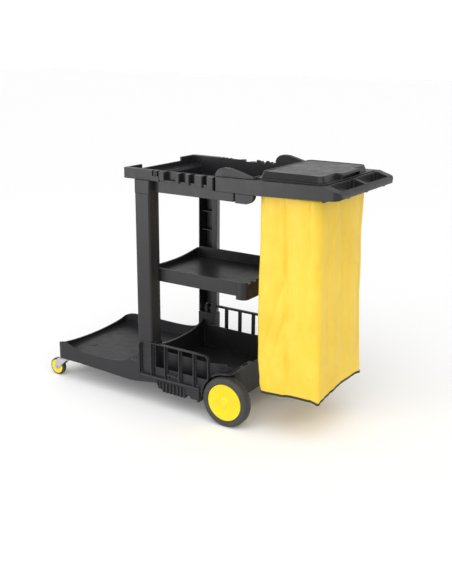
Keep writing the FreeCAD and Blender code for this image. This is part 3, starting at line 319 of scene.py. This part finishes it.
def paint_cad():
    """Each kept CAD node gets its material."""
    body = moulded_plastic("body_plastic", (0.017, 0.017, 0.019), (0.06, 0.06, 0.066), 0.36)
    lid = moulded_plastic("lid_plastic", (0.019, 0.019, 0.0205), (0.06, 0.06, 0.065), 0.36)
    yellow = wheel_yellow()
    tyre = rubber("tyre_rubber", (0.024, 0.024, 0.024))
    zinc = bright_metal("zinc", (0.62, 0.63, 0.65), 0.32)
    steel = bright_metal("drawn_steel", (0.60, 0.60, 0.60), 0.28, (1, 0.05, 1))
    for name, node in NODES.items():
        if name == "lid":
            material = lid
        elif "_hub" in name or "axle_cap" in name:
            material = yellow
        elif "_tyre" in name:
            material = tyre
        elif "caster" in name or "pins" in name:
            material = zinc
        elif name in ("rear_axle", "bag_hoop"):
            material = steel
        else:
            material = body
        node.data.materials.clear()
        node.data.materials.append(material)


# ---------------------------------------------------------------- the bag
BAG_TOP = 902.0             # where the bag leaves the frame
SIDE_POINTS = 46
CORNER_POINTS = 14
ROWS = 150
PANEL_ROWS = 16
NECK_LEVEL = 912.0
# the top hem, rolled over the hoop inside the frame: (height, inset from the wall)
NECK = [(929, 9), (934, 8), (937.5, 12), (938, 15), (935, 19), (926, 21), (914, 21), (908, 14)]


def smooth(t):
    """Ease in and out between 0 and 1."""
    t = max(0.0, min(1.0, t))
    return t * t * (3 - 2 * t)


def along(stops, value):
    """Smooth curve through (position, value) stops."""
    if value <= stops[0][0]:
        return stops[0][1]
    for (a, va), (b, vb) in zip(stops, stops[1:]):
        if value <= b:
            return va + (vb - va) * smooth((value - a) / (b - a))
    return stops[-1][1]


# by height: the bag's four faces and the radii of its upright corners
LEFT_FACE = [(165, 1000), (200, 992), (300, 981), (520, 978), (760, 979), (898, 980), (910, 988)]
RIGHT_FACE = [(165, 1240), (300, 1236), (560, 1228), (760, 1222), (900, 1222)]
NEAR_FACE = [(165, -203), (400, -201), (700, -200), (898, -200), (910, -196)]
FAR_FACE = [(165, 178), (400, 180), (700, 186), (900, 196)]
CORNER_RADII = {
    "near_left": [(165, 10), (300, 18), (900, 20)],
    "near_right": [(165, 7), (280, 14), (600, 30), (900, 34)],
    "far_right": [(165, 36), (400, 55), (900, 66)],
    "far_left": [(165, 16), (400, 30), (900, 34)],
}

# soft folds: face, (distance along the face, height) at both ends, half width, depth outwards
FOLDS = [
    ("near", (106, 900), (112, 640), 6, -4.5),
    ("near", (110, 700), (124, 240), 9, -5.5),
    ("near", (124, 330), (128, 190), 7, -3.5),
    ("near", (60, 900), (52, 420), 30, 4.0),
    ("near", (110, 610), (34, 330), 11, -5.0),
    ("near", (112, 500), (60, 300), 8, 3.5),
    ("near", (104, 440), (40, 230), 9, -4.0),
    ("near", (165, 900), (160, 300), 26, 4.0),
    ("near", (208, 900), (214, 690), 10, -4.0),
    ("near", (220, 690), (226, 530), 3.5, -7.0),
    ("near", (226, 560), (232, 230), 8, -3.5),
    ("near", (214, 860), (240, 780), 6, 4.0),
    ("near", (120, 470), (160, 380), 9, -3.0),
    ("near", (92, 240), (96, 178), 7, 3.0),
    ("near", (118, 235), (112, 178), 5, -3.5),
    ("near", (206, 260), (214, 180), 9, -4.0),
    ("near", (30, 260), (22, 180), 8, 3.5),
    ("right", (148, 905), (168, 340), 4.5, 3.5),
    ("right", (182, 905), (204, 300), 17, -4.5),
    ("right", (60, 905), (74, 300), 14, -3.5),
    ("right", (104, 905), (118, 300), 15, 3.0),
    ("right", (178, 656), (350, 630), 5, 2.6),
    ("right", (270, 900), (262, 300), 24, 3.5),
    ("right", (330, 880), (322, 300), 20, -4.0),
    ("right", (30, 300), (44, 180), 9, 3.0),
    ("right", (120, 280), (100, 190), 9, -3.0),
    ("left", (90, 900), (110, 300), 22, -6.0),
    ("left", (220, 900), (200, 260), 26, 5.0),
    ("left", (320, 820), (300, 330), 16, -5.0),
    ("far", (60, 900), (74, 330), 16, -5.0),
    ("far", (140, 900), (120, 260), 22, 5.0),
    ("far", (190, 700), (205, 240), 12, -5.0),
]


def fold_depth(face, distance, height):
    """How far all folds together push a point of one face outwards."""
    total = 0.0
    for name, top, bottom, half_width, depth in FOLDS:
        if name != face:
            continue
        axis = Vector((bottom[0] - top[0], bottom[1] - top[1]))
        offset = Vector((distance - top[0], height - top[1]))
        share = offset.dot(axis) / axis.length_squared
        across = abs(offset.cross(axis)) / axis.length
        if -0.2 < share < 1.2 and across < 3 * half_width:
            ends = smooth((share + 0.2) / 0.35) * smooth((1.2 - share) / 0.35)
            total += depth * ends * math.exp(-((across / half_width) ** 2))
    return total


def hem_height(face, share):
    """Height of the bag's lower edge: it droops at the corners and is drawn up between them."""
    if face == "near":
        return along([(0, 167), (0.3, 171), (0.6, 178), (0.85, 178), (1, 172)], share)
    if face == "right":
        return along([(0, 172), (0.18, 181), (0.5, 193), (0.78, 190), (1, 180)], share)
    if face == "far":
        return along([(0, 180), (0.5, 188), (1, 174)], share)
    return along([(0, 174), (0.5, 186), (1, 167)], share)


def bag_ring(height):
    """Points of one level: (x, y, outward x, outward y, face, distance, share)."""
    x0, x1 = along(LEFT_FACE, height), along(RIGHT_FACE, height)
    y0, y1 = along(NEAR_FACE, height), along(FAR_FACE, height)
    radius = {name: along(stops, height) for name, stops in CORNER_RADII.items()}
    corners = [
        ("near_right", x1, y0, -1, 1, -90),
        ("far_right", x1, y1, -1, -1, 0),
        ("far_left", x0, y1, 1, -1, 90),
        ("near_left", x0, y0, 1, 1, 180),
    ]
    faces = ["near", "right", "far", "left"]
    starts = [(x0 + radius["near_left"], y0), (x1, y0 + radius["near_right"]),
              (x1 - radius["far_right"], y1), (x0, y1 - radius["far_left"])]
    stops = [(x1 - radius["near_right"], y0), (x1, y1 - radius["far_right"]),
             (x0 + radius["far_left"], y1), (x0, y0 + radius["near_left"])]
    out = [(0, -1), (1, 0), (0, 1), (-1, 0)]
    lengths = [x1 - x0, y1 - y0, x1 - x0, y1 - y0]
    points = []
    for side in range(4):
        (ax, ay), (bx, by) = starts[side], stops[side]
        margin = math.hypot(ax - (x0 if side in (0, 3) else x1), ay - (y0 if side < 2 else y1))
        run = math.hypot(bx - ax, by - ay)
        for i in range(SIDE_POINTS):
            t = i / SIDE_POINTS
            distance = margin + run * t
            points.append((ax + (bx - ax) * t, ay + (by - ay) * t, *out[side], faces[side],
                           distance, distance / lengths[side]))
        name, cx, cy, sx, sy, start = corners[side]
        r = radius[name]
        for i in range(CORNER_POINTS):
            angle = math.radians(start + 90 * i / CORNER_POINTS)
            ox, oy = math.cos(angle), math.sin(angle)
            first_half = i < CORNER_POINTS / 2
            face = faces[side] if first_half else faces[(side + 1) % 4]
            edge = (1 - ox if first_half else 1 - oy) if side % 2 else (1 + oy if first_half else 1 - ox)
            share = 1.0 if first_half else 0.0
            distance = lengths[side] if first_half else 0.0
            points.append((cx + sx * r + r * ox, cy + sy * r + r * oy, ox, oy, face, distance, share))
    return points


RINGS = {}


def bag_ring_cached(height):
    """Points of the nearest whole-millimetre level, worked out once each."""
    key = round(height)
    if key not in RINGS:
        RINGS[key] = bag_ring(height)
    return RINGS[key]


def bag_point(sample, height):
    """A point of the bag's skin, pushed out or in by folds, waves and crumples."""
    x, y, ox, oy, face, distance, share = sample
    corner = smooth(min(share, 1 - share) / 0.06)
    push = fold_depth(face, distance, height) * corner
    waves = noise.noise(Vector((x * 0.018, y * 0.018, height * 0.0035)))
    crumple = noise.noise(Vector((x * 0.05, y * 0.05, height * 0.017)))
    push += 2.6 * waves + 0.9 * crumple
    low = smooth((330 - height) / 150)
    push += low * 1.6 * noise.noise(Vector((x * 0.09, y * 0.09, height * 0.05)))
    return Vector((x + ox * push, y + oy * push, height))


def make_bag():
    """The bag's skin: neck tucked into the frame, folded walls, sagging bottom panel."""
    levels = bag_ring(500.0)
    count = len(levels)
    form = bmesh.new()
    rows = []
    for height, inset in NECK:
        ring = []
        for x, y, ox, oy, _, _, _ in bag_ring(NECK_LEVEL):
            ring.append(form.verts.new(at(x - ox * inset, y - oy * inset, height)))
        rows.append(ring)
    hems = [hem_height(face, share) for _, _, _, _, face, _, share in levels]
    hems = [sum(hems[(i + k) % count] for k in range(-3, 4)) / 7 for i in range(count)]
    for row in range(ROWS + 1):
        t = row / ROWS
        ring = []
        for i in range(count):
            height = BAG_TOP + (hems[i] - BAG_TOP) * t
            ring.append(form.verts.new(at(*bag_point(bag_ring_cached(height)[i], height))))
        rows.append(ring)
    hem = [v.co.copy() for v in rows[-1]]
    centre = sum(hem, Vector()) / count
    for row in range(1, PANEL_ROWS):
        k = row / PANEL_ROWS
        ring = []
        for i in range(count):
            p = hem[i].lerp(centre, k)
            sag = -14 * smooth(k / 0.35) - 6 * noise.noise(p * 9)
            ring.append(form.verts.new(p + Vector((0, 0, sag * MM))))
        rows.append(ring)
    for upper, lower in zip(rows, rows[1:]):
        for i in range(count):
            j = (i + 1) % count
            form.faces.new((upper[i], upper[j], lower[j], lower[i]))
    middle = form.verts.new(centre + Vector((0, 0, -15 * MM)))
    for i in range(count):
        form.faces.new((rows[-1][i], rows[-1][(i + 1) % count], middle))
    bmesh.ops.recalc_face_normals(form, faces=form.faces)
    mesh = bpy.data.meshes.new("bag_skin")
    form.to_mesh(mesh)
    form.free()
    mesh.polygons.foreach_set("use_smooth", [True] * len(mesh.polygons))
    bag = bpy.data.objects.new("bag_skin", mesh)
    bpy.context.scene.collection.objects.link(bag)
    bag.data.materials.append(vinyl())
    thick = bag.modifiers.new("thickness", "SOLIDIFY")
    thick.thickness = 1.2 * MM
    thick.offset = -1
    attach(bag, "cart")
    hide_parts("bag")
    return bag, hem


TAPE_SIDES = 10
TAPE_HALF_THICK = 2.4
TAPE_HALF_TALL = 4.8


def make_binding(hem):
    """Tape folded over the bag's lower seam, as a swept flat profile."""
    count = len(hem)
    profile = []
    for k in range(TAPE_SIDES):
        angle = 2 * math.pi * k / TAPE_SIDES
        profile.append((TAPE_HALF_THICK * math.cos(angle), TAPE_HALF_TALL * math.sin(angle)))
    form = bmesh.new()
    rings = []
    for i, point in enumerate(hem):
        ahead, behind = hem[(i + 1) % count], hem[i - 1]
        tangent = (ahead - behind).normalized()
        side = tangent.cross(Vector((0, 0, 1))).normalized()
        up = side.cross(tangent)
        ring = []
        for across, rise in profile:
            ring.append(form.verts.new(point + side * (across + 0.6) * MM + up * (rise - 0.5) * MM))
        rings.append(ring)
    for i in range(count):
        a, b = rings[i], rings[(i + 1) % count]
        for k in range(TAPE_SIDES):
            after = (k + 1) % TAPE_SIDES
            form.faces.new((a[k], b[k], b[after], a[after]))
    bmesh.ops.recalc_face_normals(form, faces=form.faces)
    mesh = bpy.data.meshes.new("bag_binding")
    form.to_mesh(mesh)
    form.free()
    mesh.polygons.foreach_set("use_smooth", [True] * len(mesh.polygons))
    tape = bpy.data.objects.new("bag_binding", mesh)
    bpy.context.scene.collection.objects.link(tape)
    tape.data.materials.append(binding_tape())
    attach(tape, "cart")
    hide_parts("bag_piping")
    return tape


# ---------------------------------------------------------------- build
make_camera()
make_studio()
make_floor()
paint_cad()
bag, hem = make_bag()
binding = make_binding(hem)
